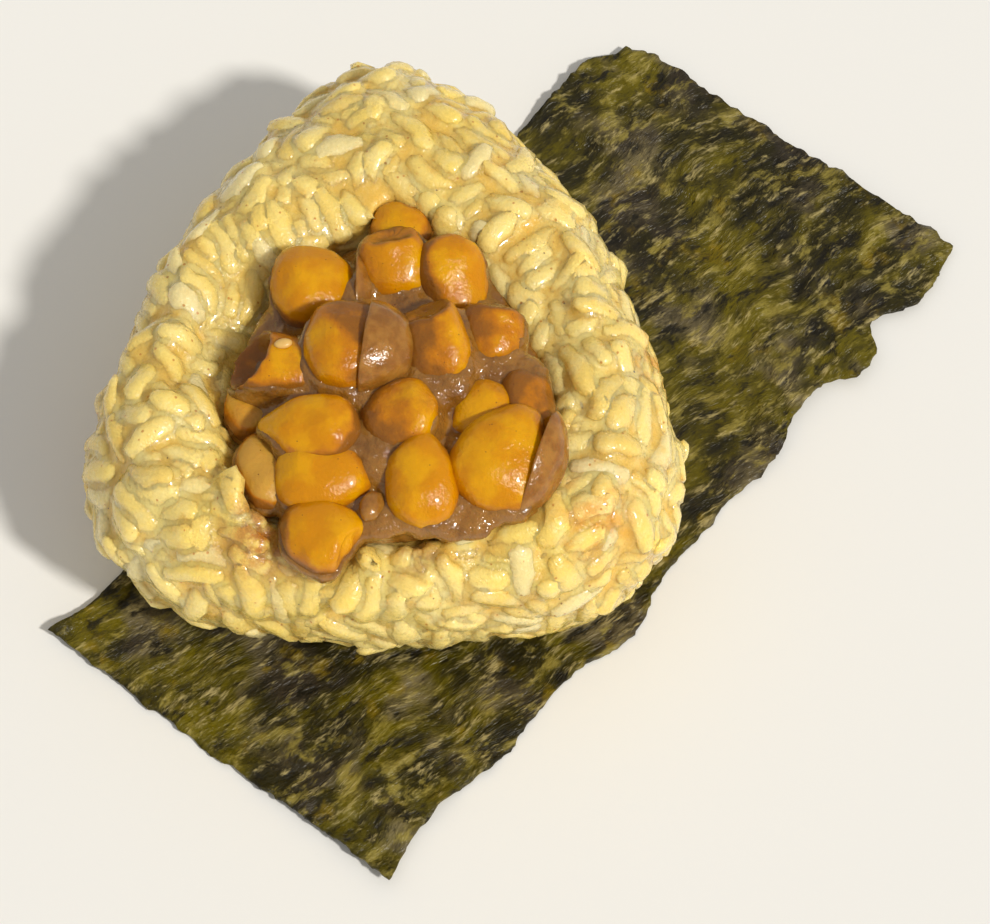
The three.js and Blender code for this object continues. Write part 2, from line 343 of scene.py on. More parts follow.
def rice_finish():
    """Moist cooked rice: pale grains, richer crevices, specks of spice, a seep of sauce and painted shade
    on the left outer wall.
    """
    rice = Finish("rice", Roughness=0.3, IOR=1.4, Coat_Weight=0.5, Coat_Roughness=0.1)
    rice.soften(0.85, (1.0, 0.78, 0.42), 2.8 * MM)
    broad = rice.span(rice.noise(0.06, 2.0), 0.38, 0.62)
    pale = rice.mix(broad, linear(247, 220, 130), linear(245, 213, 108))
    tint = rice.value("tint")
    grain = rice.mix(rice.span(tint, 0.75, 1.0, 0.0, 0.8), pale, linear(239, 222, 164))
    grain = rice.mix(rice.span(tint, 0.3, 0.0, 0.0, 0.7), grain, linear(231, 195, 96))
    cloudy = rice.span(rice.noise(0.45), 0.45, 0.7, 0.0, 0.4)
    grain = rice.mix(cloudy, grain, linear(239, 221, 156))
    stain = rice.span(rice.plus(rice.value("sunk"), rice.noise(0.7)), 0.88, 1.65)
    colour = rice.mix(stain, grain, linear(232, 186, 82))
    seasoned = rice.plus(rice.near(15.5, -3.3, 20, 8), rice.near(9.5, -25.3, 25, 9))
    seasoned = rice.times(seasoned, rice.span(rice.noise(0.35), 0.4, 0.62))
    colour = rice.mix(rice.times(seasoned, 0.75), colour, linear(226, 150, 46))
    seep = rice.plus(rice.near(-26.5, -27.0, 24.5, 8.5), rice.near(-10.0, -29.0, 25, 5))
    seep = rice.times(seep, rice.span(rice.noise(0.6), 0.3, 0.6))
    colour = rice.mix(rice.times(seep, 0.95), colour, linear(180, 108, 36))
    spice = rice.span(rice.noise(1.3, 4.0, 0.7), 0.64, 0.72, 0.0, 0.5)
    colour = rice.mix(spice, colour, linear(218, 150, 36))
    colour = rice.mix(rice.times(rice.specks(0.8, 0.17, 0.52), 0.8), colour, linear(196, 126, 40))
    colour = rice.mix(rice.times(rice.specks(0.5, 0.07, 0.72), 0.8), colour, linear(120, 74, 36))
    colour = rice.mix(rice.specks(0.16, 0.035, 0.7), colour, linear(50, 38, 26))
    # painted shade: the left outer wall, which faces away from the key light, is darkened in its colour
    painted_left_wall_shade = rice.times(rice.near(-51, -3, 10, 18), 0.9)
    colour = rice.mix(painted_left_wall_shade, colour, linear(182, 128, 54))
    rice.colour(colour)
    rice.gloss(rice.span(rice.noise(1.6), 0.35, 0.7, 0.16, 0.4))
    rice.bump([(rice.noise(0.8, 2.0), 0.4), (rice.noise(2.3, 2.0), 0.6)], 0.32 * MM)
    return rice.material


def corn_finish():
    """Glossy cooked corn with a film of brown sauce where the piece says so."""
    corn = Finish("corn", Roughness=0.2, IOR=1.42, Specular_IOR_Level=0.3,
                  Coat_Weight=0.25, Coat_Roughness=0.03)
    corn.soften(0.35, (1.0, 0.45, 0.12), 1.4 * MM)
    bright = corn.mix(corn.span(corn.noise(0.22), 0.4, 0.62), linear(203, 132, 0), linear(217, 154, 2))
    pale = corn.mix(corn.value("pale"), bright, linear(196, 150, 66))
    patchy = corn.plus(corn.noise(0.32, 4.0), -0.5)
    film = corn.plus(corn.value("film"), corn.times(patchy, 1.4))
    thin = corn.mix(corn.span(film, 0.2, 0.6), pale, linear(188, 115, 14))
    coated = corn.mix(corn.span(film, 0.5, 0.9), thin, linear(142, 88, 26))
    specks = corn.specks(1.3, 0.12, 0.7)
    corn.colour(corn.mix(specks, coated, linear(120, 66, 24)))
    corn.gloss(corn.span(corn.noise(1.2), 0.35, 0.7, 0.07, 0.22))
    corn.bump([(corn.noise(0.6), 0.6), (corn.noise(2.4, 4.0), 0.35)], 0.26 * MM)
    return corn.material


def sauce_finish():
    """Thick glossy brown sauce."""
    sauce = Finish("sauce", Roughness=0.1, IOR=1.42, Coat_Weight=0.8, Coat_Roughness=0.03)
    sauce.soften(0.3, (1.0, 0.45, 0.2), 1.2 * MM)
    patches = sauce.span(sauce.noise(0.25), 0.35, 0.65)
    colour = sauce.mix(patches, linear(122, 78, 22), linear(152, 103, 34))
    sauce.colour(sauce.mix(sauce.specks(1.2, 0.14, 0.7), colour, linear(96, 52, 24)))
    sauce.bump([(sauce.noise(0.9), 0.6), (sauce.noise(1.7, 2.0), 0.8)], 0.36 * MM)
    return sauce.material


def nori_finish():
    """Dark, crinkled seaweed, mottled olive, brown and grey, with pale patches and streaks that are
    partly fibre and partly painted highlight.
    """
    nori = Finish("nori", Roughness=0.42, IOR=1.45, Specular_IOR_Level=0.25)
    wander = nori.add("TexNoise", {"Vector": nori.place, "Scale": 0.08, "Detail": 1.0}, 1)
    wander = nori.add("VectorMath", {0: wander, "Scale": 4.5}, operation="SCALE")
    swirled = nori.add("VectorMath", {0: nori.place, 1: wander}, operation="ADD")
    turned = nori.add("Mapping", {"Vector": swirled, "Rotation": (0, 0, -FIBRE_HEADING)})
    streaks = nori.add("Mapping", {"Vector": turned, "Scale": (0.5, 1.0, 1.0)})
    strands_and_glints = nori.add("Mapping", {"Vector": turned, "Scale": (0.28, 1.0, 1.0)})
    mottle = nori.noise(0.17, 4.0, 0.62, streaks)
    middling = nori.noise(0.42, 4.0, 0.66, streaks)
    fine = nori.noise(0.95, 3.0, 0.7, strands_and_glints)
    grey = nori.span(nori.noise(0.1, 3.0), 0.48, 0.62)
    dark = nori.mix(grey, linear(40, 36, 12), linear(52, 45, 34))
    light = nori.mix(grey, linear(98, 88, 8), linear(116, 105, 74))
    colour = nori.mix(nori.span(mottle, 0.4, 0.64), dark, light)
    colour = nori.mix(nori.span(nori.noise(0.22, 4.0), 0.58, 0.72, 0.0, 0.7), colour, linear(130, 108, 6))
    colour = nori.mix(nori.span(middling, 0.49, 0.34, 0.0, 0.95), colour, linear(27, 24, 16))
    # painted highlight: soft pale patches where the crinkles catch the light
    colour = nori.mix(nori.span(middling, 0.53, 0.68, 0.0, 0.75), colour, linear(148, 134, 62))
    # pale streaks along the sheet, partly real fibre and partly painted highlight glinting on the
    # crinkles
    colour = nori.mix(nori.span(fine, 0.54, 0.74, 0.0, 0.75), colour, linear(184, 168, 112))
    nori.colour(colour)
    nori.gloss(nori.span(fine, 0.35, 0.7, 0.3, 0.6))
    nori.bump([(mottle, 0.4), (middling, 0.8), (fine, 0.8)], 0.6 * MM)
    return nori.material


def floor_finish():
    return Finish("floor", Roughness=0.7, Base_Color=FLOOR_COLOUR).material


# Rice: a core under real grains


# where the hollow falls away steeply on its left, shaded by the kernels: x, y and drop in mm
HOLLOW_DROPS = ((-31.5, -3.5, 3.0), (-30.0, 4.5, 2.2))


def rice_mould():
    """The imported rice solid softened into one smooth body, for the grains to press against."""
    mould = copy_of("rice", "rice_mould")
    modify(mould, "REMESH", mode="VOXEL", voxel_size=MOULD_VOXEL)
    modify(mould, "SMOOTH", factor=0.6, iterations=14)
    low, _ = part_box("rice")
    pick(mould, lambda place: place.x < low.x + 1.5 * MM and place.z > 5 * MM)
    push((-0.8 * MM, 0, 0), 12 * MM)
    for x, y, drop in HOLLOW_DROPS:
        pick(mould, lambda place: place.z > 18 * MM
             and math.hypot(place.x - x * MM, place.y - y * MM) < 2 * MM)
        push((0, 0, -drop * MM), 6.5 * MM)
    bpy.ops.object.mode_set(mode="OBJECT")
    # the outside grows to where the grains' tops lie, the hollow is left as it is
    outside = mould.vertex_groups.new(name="outside")
    for vertex in mould.data.vertices:
        away = math.hypot((vertex.co.x - HOLLOW_MIDDLE.x) / HOLLOW_SIZE.x,
                          (vertex.co.y - HOLLOW_MIDDLE.y) / HOLLOW_SIZE.y)
        outside.add([vertex.index], min(max((away - 0.95) / 0.35, 0.0), 1.0), "REPLACE")
    modify(mould, "DISPLACE", strength=MOULD_GROWTH, mid_level=0.0, vertex_group="outside")
    modify(mould, "DISPLACE", strength=-HOLLOW_ROOM, mid_level=0.0, vertex_group="outside",
           invert_vertex_group=True)
    return mould


def grain_form(number, length, width, depth, bow, blunt):
    """One grain: a long body with rounded ends, blunter at one end and bowed a little."""
    grain = sphere(f"grain_form_{number}", GRAIN_SEGMENTS, GRAIN_RINGS, (width, depth, length))
    # the end rings are opened, which squares the ends
    pick(grain, lambda place: 0.4 * length < abs(place.z) < 0.48 * length)
    bpy.ops.transform.resize(value=(1.36, 1.36, 1.0))
    pick(grain, lambda place: 0.2 * length < abs(place.z) < 0.4 * length)
    bpy.ops.transform.resize(value=(1.14, 1.14, 1.0))
    pick(grain, lambda place: place.z > 0.2 * length)
    bpy.ops.transform.resize(value=(blunt, blunt, 0.95))
    pick(grain, lambda place: place.z < -0.2 * length)
    bpy.ops.transform.resize(value=(0.88, 0.88, 1.05))
    pick(grain, lambda place: abs(place.z) < 0.2 * length)
    bpy.ops.transform.translate(value=(bow, 0, 0))
    return done(grain)


def grain_forms():
    """A handful of grains, long, short, bent and broken."""
    shapes = (
        (1.0, 1.0, 1.0, 0.03, 1.05),
        (1.1, 0.9, 0.95, 0.07, 1.0),
        (0.88, 1.1, 1.05, -0.02, 1.08),
        (1.04, 0.98, 0.9, 0.09, 1.02),
        (0.78, 1.06, 1.06, 0.0, 1.1),
        (0.56, 1.0, 1.0, 0.02, 1.16),
    )
    forms = []
    for number, (length, width, depth, bow, blunt) in enumerate(shapes):
        form = grain_form(number, GRAIN_LENGTH * length, GRAIN_WIDTH * width,
                          GRAIN_DEPTH * depth, GRAIN_LENGTH * bow, blunt)
        roughen(form, 1.6 * MM, 0.5 * MM)
        places, _ = places_of(form)
        faces = [tuple(face.vertices) for face in form.data.polygons]
        forms.append((places, faces, GRAIN_LENGTH * length, GRAIN_WIDTH * width))
        bpy.data.objects.remove(form)
    return forms


def surface_samples(piece, count):
    """Points spread evenly at random over a mesh, with their smooth normals."""
    mesh = piece.data
    mesh.calc_loop_triangles()
    corners = np.array([t.vertices[:] for t in mesh.loop_triangles])
    places, normals = places_of(piece)
    a, b, c = (places[corners[:, i]] for i in range(3))
    areas = np.linalg.norm(np.cross(b - a, c - a), axis=1)
    chosen = random.choice(len(corners), count, p=areas / areas.sum())
    u, v = random.random((2, count))
    flip = u + v > 1
    u[flip], v[flip] = 1 - u[flip], 1 - v[flip]
    weights = np.stack([1 - u - v, u, v], 1)[:, :, None]
    points = (places[corners[chosen]] * weights).sum(1)
    directions = (normals[corners[chosen]] * weights).sum(1)
    return points, directions / np.linalg.norm(directions, axis=1)[:, None]


def filling_surface():
    """A search tree over the sauce and the kernels, for grains to stay clear of."""
    vertices, faces = [], []
    for node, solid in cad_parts.items():
        if node in ("rice", "nori"):
            continue
        start = len(vertices)
        vertices += [v.co.copy() for v in solid.data.vertices]
        faces += [[start + i for i in face.vertices] for face in solid.data.polygons]
    return BVHTree.FromPolygons(vertices, faces)


def lay_grains(mould, forms):
    """Places grains one by one, long ones first, each turned to where it touches others least."""
    filling = filling_surface()
    top_of_nori = NORI_THICKNESS + NORI_CLEARANCE
    steps = np.linspace(-0.5, 0.5, SPINE_POINTS)
    laid = []
    middles = np.empty((0, 3))
    spines = np.empty((0, SPINE_POINTS, 3))
    radii = np.empty(0)
    # each pass: how many tries, forms used, how deep they sit, how closely they may press
    passes = (
        (160, (0, 1, 3), 0.75 * MM, 1.1),
        (12000, (0, 1, 2, 3), 1.15 * MM, 0.62),
        (9000, (0, 2, 4), 1.35 * MM, 0.52),
        (9000, (4, 5), 1.4 * MM, 0.46),
    )
    for tries, kinds, depth, press in passes:
        points, directions = surface_samples(mould, tries)
        for point, up in zip(points, directions):
            if up[2] < -0.8 and point[2] < 2 * MM:
                continue
            kind = kinds[random.integers(len(kinds))]
            _, _, length, width = forms[kind]
            size = random.uniform(0.9, 1.1)
            seat = point - up * (depth + random.uniform(-0.2, 0.2) * MM)
            spine_length = (length - width) * size
            radius = 0.5 * width * size
            close = np.flatnonzero(np.linalg.norm(middles - seat, axis=1) < NEIGHBOUR_REACH)
            side = np.cross(up, (0.31, 0.17, 0.93))
            side /= np.linalg.norm(side)
            other = np.cross(up, side)
            turns = random.random() * math.pi + np.arange(HEADINGS_TRIED) * math.pi / HEADINGS_TRIED
            tilts = random.normal(0, HEADING_TILT, HEADINGS_TRIED)
            headings = (np.cos(turns)[:, None] * side + np.sin(turns)[:, None] * other
                        + tilts[:, None] * up)
            headings /= np.linalg.norm(headings, axis=1)[:, None]
            trial = seat + headings[:, None, :] * (steps * spine_length)[None, :, None]
            room = np.full(HEADINGS_TRIED, 1.0)
            if len(close):
                gaps = np.linalg.norm(trial[:, None, :, None] - spines[close][None, :, None], axis=4)
                needed = (radius + radii[close])[None, :]
                room = (gaps.min(axis=(2, 3)) / needed).min(axis=1)
            best = int(room.argmax())
            if room[best] < press:
                continue
            ends = trial[best]
            if ends[:, 2].min() < radius * 0.85 + top_of_nori:
                continue
            if min(filling.find_nearest(Vector(end))[3] for end in ends[::2]) < FILLING_CLEARANCE:
                continue
            laid.append((kind, size, seat, headings[best], up))
            middles = np.vstack([middles, seat])
            spines = np.concatenate([spines, ends[None]])
            radii = np.append(radii, radius)
    return laid


def height_out(point, surface):
    """How far a point stands out of the mould, and which way is out."""
    place, normal, _, _ = surface.find_nearest(Vector(point))
    return (Vector(point) - place).dot(normal), normal


def press(points, surface):
    """Flattens what stands out of the mould, and returns how far out each point is."""
    heights = np.empty(len(points))
    for index, point in enumerate(points):
        height, normal = height_out(point, surface)
        above = height - PRESS_START
        if above > 0:
            points[index] -= np.array(normal) * above * (1 - PRESS_KEEP)
            height -= above * (1 - PRESS_KEEP)
        heights[index] = height
    return heights


def sunken(heights):
    """0 on top of a grain to 1 down in a crevice, from how far out of the mould a point is."""
    return np.clip(0.3 - heights / CREVICE_DEPTH, 0, 1)


def rice_grains(mould, forms):
    """All the grains as one mesh, with a tint for each grain and how sunk each point is."""
    laid = lay_grains(mould, forms)
    surface = BVHTree.FromObject(mould, bpy.context.evaluated_depsgraph_get())
    vertices, faces, tints, sunk = [], [], [], []
    start = 0
    for kind, size, seat, heading, up in laid:
        places, form_faces, _, _ = forms[kind]
        side = np.cross(up, heading)
        side /= np.linalg.norm(side)
        lift = np.cross(heading, side)
        roll = random.normal(0, GRAIN_ROLL)
        across = math.cos(roll) * side + math.sin(roll) * lift
        outward = math.cos(roll) * lift - math.sin(roll) * side
        local = places * size
        world = seat + local[:, :1] * across + local[:, 1:2] * outward + local[:, 2:] * heading
        heights = press(world, surface)
        vertices.append(world)
        tints.append(np.full(len(world), random.random()))
        sunk.append(sunken(heights))
        faces += [tuple(start + i for i in face) for face in form_faces]
        start += len(world)
    mesh = bpy.data.meshes.new("rice_grains")
    mesh.from_pydata(np.concatenate(vertices).tolist(), [], faces)
    grains = bpy.data.objects.new("rice_grains", mesh)
    bpy.context.scene.collection.objects.link(grains)
    note(grains, "tint", np.concatenate(tints))
    note(grains, "sunk", np.concatenate(sunk))
    return smooth_shaded(grains)


def rice_binder(mould, grains):
    """The body under the grains, which fills the crevices between them as sticky rice does."""
    surface = BVHTree.FromObject(mould, bpy.context.evaluated_depsgraph_get())
    modify(mould, "DISPLACE", strength=-BINDER_INSET, mid_level=0.0)
    fused = twin(grains, "fused_grains")
    only(mould)
    fused.select_set(True)
    bpy.ops.object.join()
    modify(mould, "REMESH", mode="VOXEL", voxel_size=BINDER_VOXEL)
    modify(mould, "SMOOTH", factor=0.5, iterations=5)
    modify(mould, "DISPLACE", strength=-BINDER_SINK, mid_level=0.0)
    places, _ = places_of(mould)
    heights = [height_out(point, surface)[0] for point in places]
    note(mould, "sunk", sunken(np.array(heights)))
    note(mould, "tint", np.full(len(places), 0.5))
    mould.name = "rice_body"
    return smooth_shaded(mould)


# Filling: corn kernels, each with the share of sauce that it wears.
# turn is measured in plan from +X and rise up from the ground, in degrees, to the broad end.
# film is the sauce on it, clean the way its bare side faces, pale how washed out it is.

KERNELS = {
    "kernel_01": dict(turn=-80, rise=-22, roll=20, size=(7.0, 6.4, 11.6),
                      film=0.56, clean=(1, -0.3, 0.1), cut=(-0.3, 0.6, 0.05)),
    "kernel_02": dict(turn=186, rise=4, roll=0, size=(9.6, 7.4, 11.6),
                      film=0.6, clean=(-0.7, -0.7, 0.25)),
    "kernel_03": dict(turn=-6, rise=5, roll=10, size=(6.8, 6.2, 11.0),
                      film=0.34, clean=(-0.6, 0.2, 0.6), tip=0.66),
    "kernel_04": dict(turn=-88, rise=-18, roll=0, size=(7.0, 6.4, 10.8),
                      film=0.1, clean=(0, -0.6, 0.5)),
    "kernel_05": dict(turn=-116, rise=-18, roll=-15, size=(9.6, 7.2, 12.6),
                      film=0.16, clean=(-0.6, 0, 0.6)),
    "kernel_06": dict(turn=12, rise=8, roll=0, size=(7.4, 6.2, 8.6),
                      film=0.68, clean=(0.8, 0, 0.6)),
    "kernel_07": dict(turn=169, rise=0, roll=0, size=(7.0, 6.6, 13.8),
                      film=0.95, clean=(0, 0, 1), cut=(0.26, 0.8, 0.2)),
    "kernel_08": dict(turn=-82, rise=-36, roll=0, size=(7.2, 6.2, 10.2),
                      film=0.62, clean=(0.3, -0.5, 0.7), cut=(-0.3, 0.35, 0.05)),
    "kernel_09": dict(turn=101, rise=24, roll=15, size=(7.0, 6.2, 10.8),
                      film=0.5, clean=(0.8, -0.2, 0.4)),
    "kernel_10": dict(turn=192, rise=8, roll=0, size=(9.0, 7.4, 9.8),
                      film=0.06, clean=(0, 0, 1)),
    "kernel_11": dict(turn=82, rise=8, roll=0, size=(6.6, 6.0, 8.6),
                      film=0.9, clean=(0.4, -0.6, 0.4), dent=(0.16, 0.5)),
    "kernel_12": dict(turn=47, rise=8, roll=0, size=(5.6, 5.4, 7.8),
                      film=0.42, clean=(0, 0, 1)),
    "kernel_13": dict(turn=172, rise=-4, roll=-10, size=(8.6, 6.6, 10.6),
                      film=0.26, clean=(-0.3, -0.7, 0.4)),
    "kernel_14": dict(turn=98, rise=0, roll=30, size=(5.6, 5.0, 9.6),
                      film=0.85, clean=(0.9, -0.3, 0)),
    "kernel_15": dict(turn=-32, rise=-8, roll=0, size=(7.4, 6.4, 9.2),
                      film=0.16, clean=(0.4, -0.5, 0.6), dent=(0.14, 0.3)),
    "kernel_16": dict(turn=-70, rise=-4, roll=0, size=(5.4, 5.0, 9.4),
                      film=0.2, clean=(0, 0, 1), pale=0.8),
    "kernel_17": dict(turn=60, rise=0, roll=0, size=(6.4, 5.6, 7.0),
                      film=0.4, clean=(-0.4, 0.2, 0.8)),
    "kernel_18": dict(turn=200, rise=0, roll=0, size=(6.0, 5.2, 6.4),
                      film=0.05, clean=(0, 0, 1), pale=0.5),
}


def kernel_form(name, width, depth, length, tip, dent, cut):
    """A corn kernel: a tooth with a broad dented crown at the top and a narrow tip.

    dent gives how deep and how wide the crown is dented. cut gives where the kernel is cut off
    along its length, how the cut leans and how far its middle is hollowed.
    """
    dent_depth, dent_width = dent
    kernel = sphere(name, KERNEL_SEGMENTS, KERNEL_RINGS, (width, depth, length))
    pick(kernel, lambda place: place.z > 0.24 * length)
    widen((1.1, 1.08, 0.96), 0.5 * length)
    pick(kernel, lambda place: place.z < -0.36 * length)
    widen((tip, tip, 1.0), 0.3 * length)
    # the broad sides are flat
    pick(kernel, lambda place: abs(place.y) > 0.3 * depth)
    bpy.ops.transform.resize(value=(1.08, 0.88, 1.05))
    pick(kernel, lambda place: place.z > 0.42 * length and abs(place.x) < dent_width * 0.5 * width)
    push((0, 0, -dent_depth * length), dent_width * width)
    if cut:
        height, lean, hollow = cut
        end = math.copysign(1.0, height)
        bpy.ops.mesh.select_all(action="SELECT")
        bpy.ops.mesh.bisect(plane_co=(0, 0, height * length), plane_no=(0.1, -lean, end),
                            use_fill=True, clear_outer=True)
        bpy.ops.mesh.inset(thickness=0.13 * depth, depth=-0.3 * hollow * length, use_even_offset=False)
        bpy.ops.mesh.inset(thickness=0.11 * depth, depth=-0.7 * hollow * length, use_even_offset=False)
    return done(kernel)


def orient(piece, turn, rise, roll, middle):
    """Turns the length from +Z to its heading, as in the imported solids, and moves the piece there."""
    heading = Vector((1, 0, 0))
    heading.rotate(Matrix.Rotation(-math.radians(rise), 3, "Y"))
    heading.rotate(Matrix.Rotation(math.radians(turn), 3, "Z"))
    side = heading.cross(Vector((0, 0, 1))).normalized()
    down = heading.cross(side)
    basis = Matrix((side, down, heading)).transposed().to_4x4()
    spun = basis @ Matrix.Rotation(math.radians(roll), 4, "Z")
    piece.data.transform(Matrix.Translation(middle) @ spun)


def corn_kernel(node, shape):
    """One kernel in place, with its film of sauce worked out for each point."""
    width, depth, length = (size * KERNEL_SWELL * MM for size in shape["size"])
    kernel = kernel_form("corn_" + node, width, depth, length, shape.get("tip", 0.84),
                         shape.get("dent", (0.05, 0.4)), shape.get("cut"))
    roughen(kernel, 4.0 * MM, 0.9 * MM)
    orient(kernel, shape["turn"], shape["rise"], shape["roll"], middle_of(node))
    modify(kernel, "SUBSURF", levels=1, render_levels=1)
    roughen(kernel, 1.4 * MM, 0.18 * MM)
    places, normals = places_of(kernel)
    facing = normals @ np.array(Vector(shape["clean"]).normalized())
    sunk = (sauce_level - places[:, 2]) / FILM_FADE
    film = shape["film"] - FILM_BARED * facing + np.clip(0.5 + 0.5 * sunk, 0.1, 1.0)
    film += FILM_ON_SIDES * (1 - normals[:, 2]) + FILM_EVERYWHERE
    note(kernel, "film", film)
    note(kernel, "pale", np.full(len(places), shape.get("pale", 0.0)))
    return smooth_shaded(kernel)


def grown(kernel, film):
    """The lower part of a kernel, a little larger, where sauce climbs it."""
    collar = only(twin(kernel, kernel.name + "_collar"))
    places, _ = places_of(collar)
    centre = Vector(places.mean(0))
    swell = Matrix.Translation(centre + SAUCE_DROP) @ Matrix.Scale(SAUCE_CLIMB, 4)
    collar.data.transform(swell @ Matrix.Translation(-centre))
    bpy.ops.object.mode_set(mode="EDIT")
    bpy.ops.mesh.select_all(action="SELECT")
    # the more sauce a kernel wears, the higher the sauce climbs it
    brim = min(sauce_level + SAUCE_BRIM_LIMIT, centre.z + (3.4 * film - 0.6) * MM)
    bpy.ops.mesh.bisect(plane_co=(0, 0, brim), plane_no=(0, 0, 1), use_fill=True, clear_outer=True)
    bpy.ops.object.mode_set(mode="OBJECT")
    return collar


def blob(x, y, z, size):
    """A soft lump of sauce, in millimetres."""
    return done(sphere("sauce_lump", 16, 10, size, (x * MM, y * MM, z * MM), 0.5 * MM))


# lumps of sauce between the kernels: x, y, z and size in millimetres
SAUCE_LUMPS = (
    (1.2, -8.6, 26.6, (7, 6, 4.5)),
    (-2.6, -7.4, 27.0, (6, 5, 5)),
    (-7.0, -9.5, 28.2, (7, 7, 5.5)),
    (-16.5, -11.2, 28.0, (9, 4.5, 4.5)),
    (-14.4, -18.6, 27.0, (6, 7, 5)),
    (-5.2, -19.0, 26.8, (5.5, 8, 4.5)),
    (-11.2, 0.5, 26.0, (6, 8, 4)),
    (-14.0, -25.6, 25.6, (7, 5, 3)),
    (-6.0, -26.4, 25.2, (9, 3.5, 2.6)),
    (-17.6, 1.6, 26.4, (5, 7, 5)),
    (-23.8, -14.0, 25.4, (7, 6, 4)),
)


def sauce_pool(kernels):
    """The sauce: a lumpy mound between the kernels that climbs their sides."""
    low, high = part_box("sauce")
    middle = (low + high) / 2
    pool = done(sphere("sauce_pool", 64, 24, tuple(high - low), middle))
    parts = [grown(kernel, shape["film"]) for kernel, shape in zip(kernels, KERNELS.values())]
    parts += [blob(*lump) for lump in SAUCE_LUMPS]
    only(pool)
    for part in parts:
        part.select_set(True)
    bpy.ops.object.join()
    modify(pool, "REMESH", mode="VOXEL", voxel_size=SAUCE_VOXEL)
    modify(pool, "SMOOTH", factor=0.6, iterations=10)
    roughen(pool, 2.4 * MM, 0.9 * MM)
    roughen(pool, 0.9 * MM, 0.25 * MM)
    return smooth_shaded(pool)


# Small things on the filling: seed, scraps and skins


# skins: the kernel that each lies on, how much larger it is, its shift, and the planes that cut it
# off, each by its offset from the middle and the way that it faces, in millimetres
SKINS = {
    "skin_right": ("kernel_05", 1.15, (1.2, 0.4, -0.2),
                   (((2.8, 0, 0), (-1, 0.35, 0)), ((0, 0, -1.0), (0, 0, -1)))),
    "skin_left": ("kernel_10", 1.24, (1.2, 0, -0.4),
                  (((3.6, 0, 0), (-1, 0, 0)), ((0, 0, -2), (0, 0, -1)))),
    "skin_middle": ("kernel_02", 1.14, (0.2, 0, 0.1),
                    (((1.0, 0, 0), (-1, 0.15, 0)), ((0, 0, -1.5), (0, 0, -1)))),
}


def skin(name, node, swell, shift, cuts):
    """A loose translucent skin: part of a shell round a kernel, cut off by planes."""
    shape = KERNELS[node]
    width, depth, length = (size * swell * MM for size in shape["size"])
    shell = done(sphere(name, KERNEL_SEGMENTS, KERNEL_RINGS, (width, depth, length)))
    middle = middle_of(node) + Vector(shift) * MM
    orient(shell, shape["turn"], shape["rise"], shape["roll"], middle)
    bpy.ops.object.mode_set(mode="EDIT")
    for offset, direction in cuts:
        bpy.ops.mesh.select_all(action="SELECT")
        bpy.ops.mesh.bisect(plane_co=middle + Vector(offset) * MM, plane_no=direction, clear_outer=True)
    bpy.ops.object.mode_set(mode="OBJECT")
    roughen(shell, 2.0 * MM, 0.5 * MM)
    modify(shell, "SOLIDIFY", thickness=SKIN_THICKNESS, offset=1.0)
    modify(shell, "SUBSURF", levels=1, render_levels=1)
    return smooth_shaded(shell)


def crumb(name, place, size, turn, relief):
    """A small uneven lump lying on whatever is under it, in millimetres."""
    lump = done(sphere(name, 16, 10, size, radius=0.5 * MM))
    roughen(lump, 1.2 * MM, relief * MM)
    spun = Matrix.Rotation(math.radians(turn), 4, "Z")
    lump.data.transform(Matrix.Translation(Vector(place) * MM) @ spun)
    return smooth_shaded(lump)


def top_at(pieces, x, y):
    """The height in millimetres of the highest of some pieces above a place."""
    heights = []
    for piece in pieces:
        hit, place, _, _ = piece.ray_cast(Vector((x * MM, y * MM, 0.1)), Vector((0, 0, -1)))
        if hit:
            heights.append(place.z / MM)
    return max(heights)


def skin_finish():
    """Thin corn skin, tan and half clear."""
    thin = Finish("skin", Roughness=0.18, IOR=1.42, Coat_Weight=0.5, Coat_Roughness=0.05,
                  Transmission_Weight=0.25)
    thin.soften(0.5, (1.0, 0.5, 0.2), 1.0 * MM)
    veins = thin.span(thin.noise(0.6), 0.35, 0.65)
    thin.colour(thin.mix(veins, linear(156, 100, 32), linear(182, 126, 50)))
    thin.bump([(thin.noise(1.0), 0.4), (thin.noise(2.4, 2.0), 0.35)], 0.22 * MM)
    return thin.material


def seed_finish():
    """A pale toasted seed."""
    seed = Finish("seed", Roughness=0.35, IOR=1.45)
    seed.colour(seed.mix(seed.noise(1.2), linear(214, 166, 84), linear(232, 194, 120)))
    seed.bump([(seed.noise(3.0), 0.3)], 0.1 * MM)
    return seed.material


# Nori: a strip with a ragged right edge, flat under the rice


# tabs that stand out of the right edge and bites that go in, in millimetres:
# the middle along the strip, the reach and how far out
RIGHT_EDGE = ((46, 7, 1.6), (33, 4.5, 2.2), (38.6, 2.6, -1.0), (15, 6, 0.9),
              (-12, 6.5, 1.8), (-25, 9, -0.6), (-44, 12, -1.8), (24, 6, -0.6))


